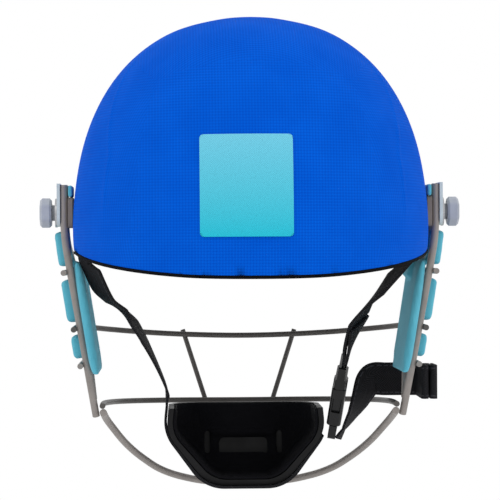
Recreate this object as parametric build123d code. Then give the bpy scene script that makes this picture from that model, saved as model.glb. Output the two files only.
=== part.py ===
from build123d import *
import math
import os

# Cricket helmet: a cloth-covered shell with a peak, a welded wire face guard on two thumb knobs,
# and a webbing chin strap with a cup. Millimetres, +Z up, the face looks towards -Y and +X is the
# wearer's left. The origin is in the middle of the head opening, straight below the knob axis.

# Shell and its layers
shell_width = 204.0
shell_length = 244.0
crown_height = 127.0
widest_level = 6.0
dome_shift = 8.0
dome_exponent = 2.35
dome_steps = 9
skirt_depth = 42.0
skirt_lean = 6.0
cover_thickness = 1.0
shell_thickness = 3.2
liner_thickness = 14.0
comfort_thickness = 7.5
layer_gap = 0.25
overrun = 30.0

# Rim line, seen from the side
rear_rim_drop = 13.5
rear_rim_reach = 125.0
ear_back = 30.0
ear_front = 24.0
temple_reach = 44.0
temple_level = 36.0
brow_reach = 112.0
brow_level = 53.0
rim_big_radius = 110.0
ear_radius = 15.0
temple_radius = 12.0
liner_rim_rise = 3.0
binding_height = 1.6
binding_proud = 0.4

# Peak
peak_arch = 150.0
peak_root_level = 57.0
peak_root_reach = 106.0
peak_droop = 14.5
peak_half_width = 90.0
peak_length = 104.0
peak_centre = 62.0
peak_end = 58.0
peak_core_thickness = 2.4
peak_skin = 1.0
peak_shell_gap = 0.3

# Badge on the back
badge_width = 49.0
badge_height = 54.0
badge_level = 34.0
badge_offset = 6.0
badge_thickness = 0.9
badge_corner = 2.0

# Comfort pads inside
crown_pad_radius = 46.0
brow_pad_width = 92.0
brow_pad_height = 26.0
brow_pad_level = 68.0
side_pad_length = 84.0
side_pad_height = 34.0
side_pad_level = 34.0
nape_pad_width = 78.0
nape_pad_height = 30.0
nape_pad_level = 12.0
comfort_corner = 8.0

# Knob axis and the clamp stack, from the shell outwards
knob_level = 22.0
clamp_gap = 0.3
spacer_thickness = 2.7
spacer_gap = 0.25
spacer_width = 24.0
spacer_height = 17.5
spacer_boss_radius = 4.9
temple_pad_height = 7.0
temple_pad_thickness = 2.6
frame_wire = 4.3
bar_wire = 3.4
strut_wire = 3.0
weld_gap = 0.05
plate_thickness = 1.8
plate_width = 21.0
plate_height = 24.7
plate_lift = 4.4
plate_corner = 5.0
slot_width = 6.2
grille_drop = 5.0
tongue_height = 9.0
tongue_gap = 0.15
washer_radius = 8.4
washer_thickness = 1.2
collar_radius = 4.6
collar_thickness = 1.8
knob_flats = 15.4
knob_depth = 6.8
knob_chamfer = 1.3
knob_lobe_radius = 2.2
screw_radius = 2.5
screw_length = 21.0
running_gap = 0.05
stack_gap = 0.1
nut_flange_radius = 8.0
nut_flange_thickness = 1.4
nut_barrel_radius = 4.2
nut_seat_drop = 2.3
nut_pocket_gap = 0.5

# Face guard
side_lean = 9.07
lean_drop = 13.0
rear_lean_exponent = 1.3
upright_top = 38.0
upright_half_gap = 8.0
corner_level = -93.0
corner_reach = 17.0
front_bow_reach = 53.0
side_bar_level = -12.7
top_bar_level = -45.7
low_side_bar_level = -67.3
bar_tail = 3.2
side_bar_reach = 45.0
low_side_bar_reach = 42.4
top_bar_front = 133.0
top_bar_dip = 9.5
low_bar_front = 129.0
low_bar_level = -91.0
low_bar_dip = 5.0
chin_bar_front = 110.0
chin_bar_level = -147.4
strut_top_half = 35.0
strut_mid_half = 21.5
strut_low_half = 13.0
strut_shift = 3.0
strut_gap = 0.3
arc_share = 0.48
strut_bend_share = 0.05
bisect_steps = 4096

# Foam blocks on the face guard's sides
block_proud = 6.7
block_gap = 2.0
block_corner = 3.0
lining_thickness = 4.2
lining_top = -6.5
lining_bottom = -74.0
lobe_depth = 7.5
lobe_height = 12.0
lobe_rear = 14.0
crown_round_share = 0.8
middle_front_share = 0.84
lower_front_share = 0.78
lobe_front_share = 0.8
pad_wire_gap = 0.3

# Straps, buckle and chin cup
webbing_width = 20.0
webbing_thickness = 1.6
anchor_y = 18.0
anchor_level = 12.0
strap_top_rise = 11.0
strap_wall_gap = 0.9
rivet_radius = 2.0
rivet_head_radius = 4.5
rivet_head_thickness = 1.2
cup_shift = 1.5
cup_half_width = 48.0
cup_rim_taper = 1.6
cup_foot_half_width = 23.0
cup_widest_level = -110.0
cup_front = 98.0
cup_back = 42.0
cup_back_slant = 8.0
cup_top = -95.0
cup_bottom = -142.0
cup_wall = 3.2
cup_lining_thickness = 1.8
cup_corner = 22.0
cup_slot_width = 3.0
cup_slot_height = 18.0
cup_window_width = 30.0
cup_window_height = 16.0
cup_window_level = -125.0
cup_ridge_width = 39.0
cup_ridge_height = 3.2
cup_ridge_depth = 1.4
cup_ridge_level = -113.5
band_front = 67.0
buckle_width = 25.0
buckle_thickness = 8.6
buckle_wall = 1.7
buckle_body_length = 24.0
buckle_tail_length = 9.0
buckle_top_x = 57.6
buckle_top_y = 41.0
buckle_top_level = -67.0
buckle_lean_x = 6.0
buckle_lean_y = 16.0
prong_width = 3.6
prong_length = 18.0
guide_width = 5.0
clip_gap = 0.35
clip_base_length = 6.0
clip_loop_length = 8.0
loop_bar = 2.6
stack_pitch = 2.6
stack_layers = 4
stack_inset = 4.0
stack_rear = 24.0
stack_front = 48.0
stack_turn_share = 0.49
tail_cross_y = 58.6
tail_cross_level = -79.0
tail_cross_inset = 23.4


def spanPoint(start, end, shares):
    """A point between two corners, as a share of each span."""
    return Vector(*(a + (b - a) * s for a, b, s in zip(start, end, shares)))


def dome(inset):
    half = shell_width / 2 - inset
    height = crown_height - inset
    rise = [0] + [
        height * math.sin(math.pi / 2 * k / dome_steps) ** (2 / dome_exponent)
        for k in range(1, dome_steps)
    ]
    reach = [half * (1 - (z / height) ** dome_exponent) ** (1 / dome_exponent) for z in rise]
    curve = Spline(
        (half - skirt_lean, -skirt_depth), *zip(reach, rise), (0, height),
        tangents=[(skirt_lean, skirt_depth), (-1, 0)],
    )
    edge = Line((0, height), (0, -skirt_depth)) + Line((0, -skirt_depth), (half - skirt_lean, -skirt_depth))
    face = Plane.XZ * make_face(curve + edge)
    stretch = (shell_length / 2 - inset) / half
    return Pos(0, dome_shift, widest_level) * scale(revolve(face, Axis.Z), by=(1, stretch, 1))


def domeReach(y, level, inset=0):
    """Half width of the dome's outside at a place seen from the side."""
    half = shell_width / 2 - inset
    height = crown_height - inset
    share = max(0, level - widest_level) / height
    radius = half * (1 - share ** dome_exponent) ** (1 / dome_exponent)
    stretch = (shell_length / 2 - inset) / half
    return radius * math.sqrt(1 - ((y - dome_shift) / (radius * stretch)) ** 2)


def aboveRim(rise=0):
    """All that lies above the rim line, moved up by rise."""
    far = shell_length + overrun
    top = crown_height + overrun * 2
    line = FilletPolyline(
        (far, -rear_rim_drop + rise),
        (rear_rim_reach, -rear_rim_drop + rise),
        (ear_back, rise),
        (-ear_front, rise),
        (-temple_reach, temple_level + rise),
        (-brow_reach, brow_level + rise),
        (-far, brow_level + rise),
        radius=[rim_big_radius, rim_big_radius, ear_radius, temple_radius, rim_big_radius],
    )
    roof = Polyline((-far, brow_level + rise), (-far, top), (far, top), (far, -rear_rim_drop + rise))
    return extrude(Plane.YZ * make_face(line + roof), shell_width, both=True)


def layer(outer, inner):
    return dome(outer) - dome(inner)


def acrossX(radius, start, end, y=0, level=0):
    """A round bar along X, from start to end, its axis pointing that way."""
    turn = math.copysign(90, end - start)
    return Pos((start + end) / 2, y, level) * Rot(0, turn, 0) * Cylinder(radius, abs(end - start))


def mirrored(part, side):
    return part if side > 0 else mirror(part, Plane.YZ)


shell_inset = cover_thickness + layer_gap
liner_inset = shell_inset + shell_thickness + layer_gap
comfort_inset = liner_inset + liner_thickness + layer_gap
clamp_start = shell_width / 2 + clamp_gap
wire_centre = clamp_start + spacer_thickness + spacer_gap + frame_wire / 2
stack_start = wire_centre - stack_inset
tail_cross_x = wire_centre - tail_cross_inset
plate_start = wire_centre + frame_wire / 2 + weld_gap
washer_start = plate_start + plate_thickness + stack_gap
collar_start = washer_start + washer_thickness + stack_gap
knob_start = collar_start + collar_thickness + stack_gap
lean_start = knob_level - lean_drop
upright_foot = corner_level - frame_wire
nut_face = domeReach(0, knob_level, liner_inset) - nut_seat_drop
strap_outer = domeReach(anchor_y + webbing_width / 2, anchor_level + strap_top_rise, liner_inset)
strap_middle = strap_outer - strap_wall_gap - webbing_thickness / 2


def bothSides(radius, y, level):
    """Holes across both side walls, one for each side."""
    near = knob_start - shell_width / 4
    return [acrossX(radius, side * near, side * knob_start, y, level) for side in (1, -1)]


def drilled(part, holes):
    """The part with its holes cut one after another."""
    for hole in holes:
        part -= hole
    return part


def screwHoles(radius):
    return bothSides(radius, 0, knob_level)


def rivetHoles(radius):
    return bothSides(radius, anchor_y, anchor_level)


def fabricCover():
    return drilled(layer(0, cover_thickness) & aboveRim(), screwHoles(nut_barrel_radius + stack_gap))


def outerShell():
    shell = layer(shell_inset, shell_inset + shell_thickness) & aboveRim()
    holes = screwHoles(nut_barrel_radius + running_gap) + rivetHoles(rivet_radius + running_gap)
    return drilled(shell, holes)


def rimBinding():
    band = aboveRim(-binding_height - layer_gap) - aboveRim(-layer_gap)
    return layer(-binding_proud, shell_inset + shell_thickness) & band


def impactLiner():
    liner = layer(liner_inset, liner_inset + liner_thickness) & aboveRim(liner_rim_rise)
    for side in (1, -1):
        pocket_end = nut_face - nut_flange_thickness - running_gap
        pocket = acrossX(nut_flange_radius + nut_pocket_gap, pocket_end, shell_width / 2, 0, knob_level)
        inner = strap_middle - webbing_thickness / 2 - rivet_head_thickness - strap_wall_gap
        channel_top = anchor_level + strap_top_rise + 2 * strap_wall_gap
        channel = Pos((inner + shell_width / 2) / 2, anchor_y, (channel_top - skirt_depth) / 2) * Box(
            shell_width / 2 - inner, webbing_width + 2 * strap_wall_gap, channel_top + skirt_depth
        )
        liner -= mirrored(pocket, side) + mirrored(channel, side)
    return liner


def comfortPad(width, height, plane):
    """A foam pad cut from the innermost layer, its outline seen along the plane's normal."""
    outline = plane * RectangleRounded(width, height, comfort_corner)
    pad = layer(comfort_inset, comfort_inset + comfort_thickness)
    return pad & extrude(outline, shell_length)


def comfortPads():
    pads = {
        "brow_pad": comfortPad(
            brow_pad_width, brow_pad_height,
            Plane((0, dome_shift, brow_pad_level), (1, 0, 0), (0, -1, 0)),
        ),
        "nape_pad": comfortPad(
            nape_pad_width, nape_pad_height,
            Plane((0, dome_shift, nape_pad_level), (1, 0, 0), (0, 1, 0)),
        ),
        "crown_pad": layer(comfort_inset, comfort_inset + comfort_thickness)
        & Pos(0, dome_shift, crown_height) * Cylinder(crown_pad_radius, crown_height),
    }
    right = comfortPad(
        side_pad_length, side_pad_height,
        Plane((0, dome_shift, side_pad_level), (0, 1, 0), (1, 0, 0)),
    )
    pads["side_comfort_left"] = right
    pads["side_comfort_right"] = mirrored(right, -1)
    return pads


def peakSheet(low, high):
    """One layer of the peak: a drooping arch, cut to the peak's outline and to the shell."""
    length = shell_length
    tube = Cylinder(peak_arch + high, length) - Cylinder(peak_arch + low, length)
    drooped = Rot(90 + peak_droop, 0, 0) * tube
    sheet = Pos(0, -peak_root_reach, peak_root_level - peak_arch) * drooped
    outline = Pos(0, -peak_centre) * Ellipse(peak_half_width, peak_length)
    front = Pos(0, -peak_end - shell_length / 2) * Rectangle(shell_width, shell_length)
    prism = extrude(outline & front, crown_height)
    return (sheet & prism) - dome(-peak_shell_gap)


def rearBadge():
    plane = Plane((badge_offset, dome_shift, badge_level), (1, 0, 0), (0, 1, 0))
    outline = plane * RectangleRounded(badge_width, badge_height, badge_corner)
    return layer(-badge_thickness - layer_gap / 2, -layer_gap / 2) & extrude(outline, shell_length)


def mountingNut():
    flange = acrossX(nut_flange_radius, nut_face - nut_flange_thickness, nut_face, 0, knob_level)
    barrel_end = domeReach(nut_barrel_radius, knob_level + nut_barrel_radius, shell_inset)
    barrel = acrossX(nut_barrel_radius, nut_face - nut_flange_thickness, barrel_end, 0, knob_level)
    return drilled(flange + barrel, screwHoles(screw_radius + running_gap))


def spacer():
    block = Box(spacer_thickness, spacer_width, spacer_height)
    block = fillet(block.edges().filter_by(Axis.X), block_corner)
    block = Pos(clamp_start + spacer_thickness / 2, 0, knob_level) * block
    boss = acrossX(spacer_boss_radius, clamp_start, plate_start - stack_gap, 0, knob_level)
    return drilled(block + boss, screwHoles(screw_radius + 3 * running_gap))


def templePad():
    low = knob_level + spacer_height / 2 + stack_gap
    pad = Pos(clamp_start + temple_pad_thickness / 2, 0, low + temple_pad_height / 2) * Box(
        temple_pad_thickness, spacer_width, temple_pad_height
    )
    return fillet(pad.edges().filter_by(Axis.Y).group_by(Axis.Z)[-1], temple_pad_thickness / 3)


def mountPlate():
    plate = Box(plate_thickness, plate_width, plate_height)
    plate = fillet(plate.edges().filter_by(Axis.X).group_by(Axis.Z)[0], plate_corner)
    plate = Pos(plate_start + plate_thickness / 2, 0, knob_level + plate_lift) * plate
    slot_height = tongue_height + grille_drop + 2 * tongue_gap
    slot_middle = knob_level + grille_drop / 2
    slot = Pos(plate_start, 0, slot_middle) * Rot(0, 90, 0) * extrude(
        RectangleRounded(slot_height, slot_width, slot_width / 2 - tongue_gap), plate_thickness, both=True
    )
    return plate - slot


def clampWasher():
    disc = acrossX(washer_radius, washer_start, washer_start + washer_thickness, 0, knob_level)
    tongue_width = slot_width - 2 * tongue_gap
    tongue = Pos(plate_start + stack_gap, 0, knob_level) * Rot(0, 90, 0) * extrude(
        RectangleRounded(tongue_height, tongue_width, tongue_width / 2 - tongue_gap),
        washer_start - plate_start,
    )
    return drilled(disc + tongue, screwHoles(screw_radius + 2 * running_gap))


def collar():
    ring = acrossX(collar_radius, collar_start, collar_start + collar_thickness, 0, knob_level)
    return drilled(ring, screwHoles(screw_radius + 2 * running_gap))


def thumbKnob():
    hexagon = RegularPolygon(knob_flats / 2, 6, major_radius=False)
    head = extrude(fillet(hexagon.vertices(), knob_lobe_radius), knob_depth)
    head = chamfer(head.edges().filter_by(Plane.XY), knob_chamfer)
    seat = Pos(0, 0, knob_depth / 2) * Cylinder(screw_radius, knob_depth)
    return Pos(knob_start, 0, knob_level) * Rot(0, 90, 0) * (head - seat)


def thumbScrew():
    return acrossX(screw_radius, knob_start - screw_length, knob_start + knob_depth, 0, knob_level)


def wirePath(points, share=arc_share):
    """Straight runs joined by arcs that each take a share of the shorter run."""
    spots = [Vector(*p) for p in points]
    radii = []
    for before, here, after in zip(spots, spots[1:], spots[2:]):
        turn = (here - before).get_angle(after - here)
        run = min((here - before).length, (after - here).length)
        radii.append(share * run / math.tan(math.radians(turn) / 2))
    return FilletPolyline(*spots, radius=radii)


def wire(points, diameter, share=arc_share):
    path = wirePath(points, share)
    start = Plane(path @ 0, z_dir=path % 0)
    return sweep(start * Circle(diameter / 2), path=path)


def uprightX(level):
    """Where the upright wires stand from the middle, down the leaning side."""
    return wire_centre - max(0, lean_start - level) * math.tan(math.radians(side_lean))


def rearY(level):
    """The rear upright seen from the side, a slight forward lean."""
    share = max(0, lean_start - level) / (lean_start - corner_level)
    return upright_half_gap - (upright_half_gap + corner_reach) * share ** rear_lean_exponent


def rearUpright():
    levels = [upright_top, lean_start, side_bar_level, top_bar_level, low_side_bar_level, upright_foot]
    return wire([(uprightX(z), rearY(z), z) for z in levels], frame_wire)


def frontUpright():
    reach_shares = [0, 0, 0.87, 1, 0.72, 0]
    levels = [upright_top, lean_start, side_bar_level, top_bar_level, low_side_bar_level,
              low_bar_level + (bar_wire + frame_wire) / 2 + weld_gap]
    rear_end = corner_reach + frame_wire
    points = []
    for z, share in zip(levels, reach_shares):
        base = upright_half_gap if z > top_bar_level else rear_end
        points.append((uprightX(z), -(base + (front_bow_reach - base) * share), z))
    return wire(points, frame_wire)


def outsideX(level, diameter):
    """A bar's centre where it lies on the outside of the uprights."""
    return uprightX(level) + (frame_wire + diameter) / 2 + weld_gap


def sideBar(level, reach):
    x = outsideX(level, bar_wire)
    return acrossY(bar_wire / 2, rearY(level) + bar_tail, -reach - bar_tail, x, level)


def acrossY(radius, start, end, x=0, level=0):
    return Pos(x, (start + end) / 2, level) * Rot(90, 0, 0) * Cylinder(radius, abs(end - start))


def hoop(side_x, start_y, reach, level, dip, shares):
    """Route of a bar that goes round the face, from its left end to its right end."""
    left = [(side_x, start_y, level)]
    for x_share, y_share, dip_share in shares:
        left.append((side_x * x_share, -reach * y_share, level - dip * dip_share))
    return left + [(-x, y, z) for x, y, z in reversed(left[:-1])]


def topHoop():
    shares = [(1, 0.52, 0), (0.88, 0.8, 0.35), (0.5, 0.975, 0.8), (0, 1, 1)]
    x = outsideX(top_bar_level, bar_wire)
    start = rearY(top_bar_level) + bar_tail
    return hoop(x, start, top_bar_front, top_bar_level, top_bar_dip, shares)


def insideX(diameter):
    """A bar's centre where it lies on the inside of the uprights' feet."""
    return uprightX(upright_foot) - (frame_wire + diameter) / 2 - weld_gap


def lowHoop():
    shares = [(1.01, 0.42, 0.2), (0.9, 0.76, 0.6), (0.52, 0.97, 0.9), (0, 1, 1)]
    start = rearY(low_bar_level) + bar_tail
    return hoop(insideX(bar_wire), start, low_bar_front, low_bar_level, low_bar_dip, shares)


def chinHoop():
    shares = [(0.985, 0.27, 0.1), (0.84, 0.55, 0.48), (0.6, 0.82, 0.82), (0.3, 0.97, 0.97), (0, 1, 1)]
    level = low_bar_level - (bar_wire + frame_wire) / 2 - weld_gap
    start = rearY(corner_level) + bar_tail
    return hoop(insideX(frame_wire), start, chin_bar_front, level, level - chin_bar_level, shares)


def onHoop(points, x):
    """The middle of a hoop's front stretch at a given width."""
    path = wirePath(points)
    low, high = 0, 1
    while high - low > 1 / bisect_steps:
        middle = (low + high) / 2
        if (path @ middle).X > x:
            low = middle
        else:
            high = middle
    return path @ low


def strut(side):
    """A front strut welded on the outside of the three hoops."""
    spots = []
    for points, half, diameter in (
        (topHoop(), strut_top_half, bar_wire),
        (lowHoop(), strut_mid_half, bar_wire),
        (chinHoop(), strut_low_half, frame_wire),
    ):
        spot = onHoop(points, side * half + strut_shift)
        spots.append(spot - Vector(0, (diameter + strut_wire) / 2 + strut_gap, 0))
    top = spots[0] + (spots[0] - spots[1]).normalized() * strut_wire
    foot = spots[2] + (spots[2] - spots[1]).normalized() * strut_wire
    return wire([top, spots[1], foot], strut_wire, strut_bend_share)


def leaned(part):
    """Turns a pad drawn upright at the wire plane so that it leans with the uprights."""
    return Pos(wire_centre, 0, lean_start) * Rot(0, side_lean, 0) * part


def padBlock(high, low, rear, front, inner, outer):
    """One foam block, drawn with X outwards from the wire plane and Z from where the lean starts."""
    height = high - low
    block = Box(outer - inner, front - rear, height)
    block = fillet(block.edges().filter_by(Axis.X), block_corner)
    block = fillet(block.edges().group_by(Axis.X)[-1], block_corner * crown_round_share)
    return Pos((outer + inner) / 2, -(front + rear) / 2, (high + low) / 2 - lean_start) * block


def sidePad():
    """Three raised blocks between the bars on one moulded lining."""
    half = frame_wire / 2 + pad_wire_gap
    bar = bar_wire / 2 + block_gap
    behind = half + pad_wire_gap
    upper = padBlock(
        knob_level + plate_lift - plate_height / 2 - block_gap, side_bar_level + bar,
        -rearY(side_bar_level) + behind, upright_half_gap - behind, -half, block_proud,
    )
    middle = padBlock(
        side_bar_level - bar, top_bar_level + bar,
        -rearY(top_bar_level) + behind, front_bow_reach * middle_front_share - behind, -half, block_proud,
    )
    lower = padBlock(
        top_bar_level - bar, low_side_bar_level + bar,
        -rearY(low_side_bar_level) + behind, front_bow_reach * lower_front_share - half, -half, block_proud,
    )
    lining_rear = -rearY(lining_top) - half
    lining = padBlock(
        lining_top, lining_bottom, lining_rear, front_bow_reach + half, -half - lining_thickness, -half,
    )
    lobe = padBlock(
        lining_top, lining_top - lobe_height, lobe_rear, front_bow_reach * lobe_front_share,
        -half - lobe_depth, -half - lining_thickness / 2,
    )
    return leaned(upper + middle + lower + lining + lobe)


def ribbon(spots, width=webbing_width, thickness=webbing_thickness):
    """Flat webbing through a list of (middle, direction across the width)."""
    sections = []
    count = len(spots)
    for k, (middle, across) in enumerate(spots):
        before = spots[max(k - 1, 0)][0]
        after = spots[min(k + 1, count - 1)][0]
        along = (after - before).normalized()
        side = (across - along * across.dot(along)).normalized()
        plane = Plane(origin=middle, x_dir=side, z_dir=along)
        sections.append(plane * Rectangle(width, thickness))
    return loft(sections, ruled=True)


def routeSpots(start, end, shares):
    """Middles and across directions of a strap, each place a share of the way from start to end."""
    return [(spanPoint(start, end, place), Vector(*across)) for place, across in shares]


buckle_top = Vector(-buckle_top_x, -buckle_top_y, buckle_top_level)
buckle_length = clip_loop_length + clip_base_length + buckle_body_length + buckle_tail_length
buckle_drop = math.sqrt(buckle_length ** 2 - buckle_lean_x ** 2 - buckle_lean_y ** 2)
buckle_end = buckle_top + Vector(buckle_lean_x, -buckle_lean_y, -buckle_drop)
buckle_axis = (buckle_top - buckle_end).normalized()
buckle_across_shares = (0.14, 0.96, -0.26)
base_thickness_share = 0.8
tail_thickness_share = 0.55
buckle_side = (
    Vector(*buckle_across_shares) - buckle_axis * buckle_axis.dot(Vector(*buckle_across_shares))
).normalized()

strap_left_shares = [
    ((0.22, 0.24, 0.286), (-0.61, 0.73, -0.29)),
    ((0.49, 0.45, 0.44), (-0.3, 0.78, -0.5)),
    ((0.66, 0.6, 0.56), (-0.16, 0.76, -0.62)),
    ((0.83, 0.79, 0.75), (-0.22, 0.72, -0.62)),
    ((1, 1, 1), (-0.05, 1, -0.1)),
]
strap_right_shares = [
    ((0.45, 0.3, 0.33), (0.22, 0.78, -0.55)),
    ((0.69, 0.52, 0.53), (0.33, 0.9, -0.25)),
    ((0.83, 0.7, 0.7), (0.5, 0.85, -0.16)),
    ((1, 1, 1), (0.14, 0.96, -0.26)),
]
tail_shares = [
    ((0, 0, 0), (0.1, 0.92, 0.3)),
    ((0.16, 0.28, 0.16), (-0.2, 0.8, 0.55)),
    ((0.42, 0.55, 0.42), (0.1, 0.85, 0.5)),
    ((0.6, 0.72, 0.62), (0.35, 0.75, 0.5)),
    ((0.82, 0.9, 0.9), (0.35, 0.45, 0.8)),
    ((1, 1, 1), (0, 0.1, 1)),
]


def strapTop(side):
    """The first stretch, flat between the shell and the liner and riveted there."""
    top = Vector(side * strap_middle, anchor_y, anchor_level + strap_top_rise)
    middle = Vector(side * strap_middle, anchor_y, anchor_level - 2 * rivet_head_radius)
    low = Vector(side * strap_middle, anchor_y, -strap_wall_gap * 2)
    return [(spot, Vector(0, 1, 0)) for spot in (top, middle, low)]


def strapLeft():
    start = strapTop(1)[-1][0]
    end_x = cup_shift + cup_half_width - cup_rim_taper + clip_gap + webbing_thickness / 2
    end = Vector(end_x, -band_front + webbing_width / 2, cup_top + clip_gap)
    lead = end + Vector(0, 0, webbing_width / 2)
    spots = strapTop(1) + routeSpots(start, lead, strap_left_shares) + [(end, Vector(0, 1, 0))]
    return drilled(ribbon(spots), rivetHoles(rivet_radius + running_gap))


def strapRight():
    start = strapTop(-1)[-1][0]
    lead = buckle_top + buckle_axis * webbing_width / 2
    spots = strapTop(-1) + routeSpots(start, lead, strap_right_shares)
    spots.append((buckle_top + buckle_axis * clip_gap, buckle_side))
    return drilled(ribbon(spots), rivetHoles(rivet_radius + running_gap))


def strapRivet(side):
    head_end = strap_middle - webbing_thickness / 2 - stack_gap
    shell_out = domeReach(anchor_y + rivet_radius, anchor_level + rivet_radius, shell_inset + layer_gap)
    head = acrossX(rivet_head_radius, head_end - rivet_head_thickness, head_end, anchor_y, anchor_level)
    shank = acrossX(rivet_radius, head_end - rivet_head_thickness, shell_out, anchor_y, anchor_level)
    return mirrored(head + shank, side)


def buckleFrame(down):
    """A frame on the buckle's axis, down from its top, Z towards the strap and X across the width."""
    return Location(Plane(origin=buckle_top - buckle_axis * down, x_dir=buckle_side, z_dir=buckle_axis))


def femaleBuckle():
    body = Pos(0, 0, -buckle_body_length / 2) * Box(buckle_width, buckle_thickness, buckle_body_length)
    body = fillet(body.edges().filter_by(Axis.Z), buckle_thickness / 3)
    body = fillet(body.edges().filter_by(Axis.X), buckle_wall / 2)
    cavity = Pos(0, 0, -(buckle_body_length - buckle_wall) / 2 + buckle_wall / 2) * Box(
        buckle_width - 2 * buckle_wall, buckle_thickness - 2 * buckle_wall, buckle_body_length
    )
    window_height = prong_length / 2
    window = Pos(0, 0, -prong_length / 2 - buckle_wall) * Box(
        buckle_width + overrun, buckle_thickness - 2 * buckle_wall, window_height
    )
    mouth = Rot(90, 0, 0) * Cylinder(buckle_width / 4, buckle_thickness + overrun)
    tail = Pos(0, 0, -buckle_body_length - buckle_tail_length / 2) * Box(
        buckle_width, buckle_thickness * tail_thickness_share, buckle_tail_length
    )
    tail = fillet(tail.edges().filter_by(Axis.Y).group_by(Axis.Z)[0], buckle_tail_length / 4)
    slot = Pos(0, 0, -buckle_body_length - buckle_tail_length / 2) * Box(
        webbing_width + 4 * clip_gap, buckle_thickness, buckle_tail_length - 2 * loop_bar
    )
    made = body - cavity - window - mouth + (tail - slot)
    return buckleFrame(clip_loop_length + clip_base_length) * made


def maleClip():
    inside = buckle_width - 2 * buckle_wall - 2 * clip_gap
    thickness = buckle_thickness - 2 * buckle_wall - 2 * clip_gap
    base = Pos(0, 0, (clip_base_length + clip_gap) / 2) * Box(
        buckle_width, buckle_thickness * base_thickness_share, clip_base_length - clip_gap
    )
    base = fillet(base.edges().filter_by(Axis.Z), buckle_thickness / 4)
    reach = prong_length + clip_base_length / 2
    middle = clip_base_length / 2 - reach / 2
    prong = Pos((inside - prong_width) / 2, 0, middle) * Box(prong_width, thickness, reach)
    prong = fillet(prong.edges().filter_by(Axis.Y).group_by(Axis.Z)[0], prong_width / 3)
    guide = Pos(0, 0, middle) * Box(guide_width, thickness * base_thickness_share, reach)
    ring = Pos(0, 0, (clip_base_length + clip_loop_length) / 2) * Box(
        buckle_width, thickness, clip_base_length + clip_loop_length
    )
    ring = fillet(ring.edges().filter_by(Axis.Y).group_by(Axis.Z)[-1], loop_bar / 2)
    slot = Pos(0, 0, clip_base_length + clip_loop_length / 2) * Box(
        webbing_width + 4 * clip_gap, buckle_thickness, clip_loop_length - 2 * loop_bar
    )
    made = base + prong + mirror(prong, Plane.YZ) + guide + (ring - slot)
    return buckleFrame(clip_loop_length + clip_base_length) * made


def cupOutline(inset, rise=0):
    """The cup seen from behind, drawn in by inset, its open top raised by rise."""
    half = cup_half_width - inset
    rim = half - cup_rim_taper
    foot = cup_foot_half_width - inset
    right = [(rim, cup_top + rise), (rim, cup_top), (half, cup_widest_level), (foot, cup_bottom + inset)]
    spots = right[0 if rise else 1:]
    spots += [(-x, z) for x, z in reversed(spots)]
    radii = [cup_corner - inset] * 4
    return FilletPolyline(*spots, radius=[cup_corner, *radii, cup_corner] if rise else radii)


def cupBody(inset, rise=0):
    """The solid that the cup wraps: three outlines at right angles, cut with each other."""
    outline = cupOutline(inset, rise)
    top = Line(outline @ 1, outline @ 0)
    front_view = Plane.XZ * make_face(outline + top)
    body = extrude(front_view, shell_length, both=True)
    front = cup_front - inset
    length = cup_front + cup_corner
    width = 2 * (cup_half_width - inset)
    plan = Pos(0, -front + length / 2) * RectangleRounded(width, length, cup_corner - inset)
    body &= extrude(plan, shell_length, both=True)
    low = cup_bottom + inset
    high = cup_top + rise
    foot_line = FilletPolyline((-front, high), (-front, low), (cup_corner, low), radius=cup_corner - inset)
    back_line = Polyline((cup_corner, low), (cup_corner, high), (-front, high))
    side_view = Plane.YZ * make_face(foot_line + back_line)
    return Pos(cup_shift, 0, 0) * (body & extrude(side_view, shell_width, both=True))


def cupTrim():
    """Everything behind the slanted back edge that leaves the cup two wings."""
    level = cup_top + overrun
    low = cup_bottom - overrun
    slant = cup_back_slant / (cup_top - cup_bottom)
    spots = [
        (-cup_back + overrun * slant, level), (-cup_back - (cup_top - low) * slant, low),
        (shell_length, low), (shell_length, level),
    ]
    return extrude(Plane.YZ * make_face(Polyline(*spots, close=True)), shell_width, both=True)


def chinCup():
    return cupBody(0) - cupBody(cup_wall, overrun) - cupTrim()


def cupLining():
    """The soft inside: a sunk window, a ridge above it and a slot at each side of the middle."""
    outer = cup_wall + layer_gap
    inner = outer + cup_lining_thickness
    lining = cupBody(outer) - cupBody(inner, overrun) - cupTrim()
    middle = -(cup_front - outer - cup_lining_thickness / 2)
    window = Pos(cup_shift, middle, cup_window_level) * Box(
        cup_window_width, 2 * cup_lining_thickness, cup_window_height
    )
    lining -= fillet(window.edges().filter_by(Axis.Y), cup_window_height / 5)
    slot_middle = cup_ridge_width / 2 + cup_slot_width
    for side in (1, -1):
        lining -= Pos(cup_shift + side * slot_middle, middle, cup_window_level + cup_ridge_height) * Box(
            cup_slot_width, 2 * cup_lining_thickness, cup_slot_height
        )
    ridge = Pos(cup_shift, middle + cup_lining_thickness / 2, cup_ridge_level) * Box(
        cup_ridge_width, 2 * cup_ridge_depth, cup_ridge_height
    )
    return lining + fillet(ridge.edges().filter_by(Axis.X), cup_ridge_depth / 2)


def cupWebbing():
    """The webbing that cradles the cup, from its left rim under it to the buckle."""
    inner = cupOutline(-clip_gap)
    outer = cupOutline(-clip_gap - webbing_thickness)
    low = buckle_end.Z - webbing_thickness
    band = make_face(outer + Line(outer @ 1, outer @ 0)) - make_face(inner + Line(inner @ 1, inner @ 0))
    band = Plane.XZ * band
    loop = Pos(cup_shift, -band_front + webbing_width, 0) * extrude(band, webbing_width)
    cut_box = Pos(-cup_half_width, 0, low + overrun) * Box(cup_half_width, shell_length, 2 * overrun)
    return loop - cut_box


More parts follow.
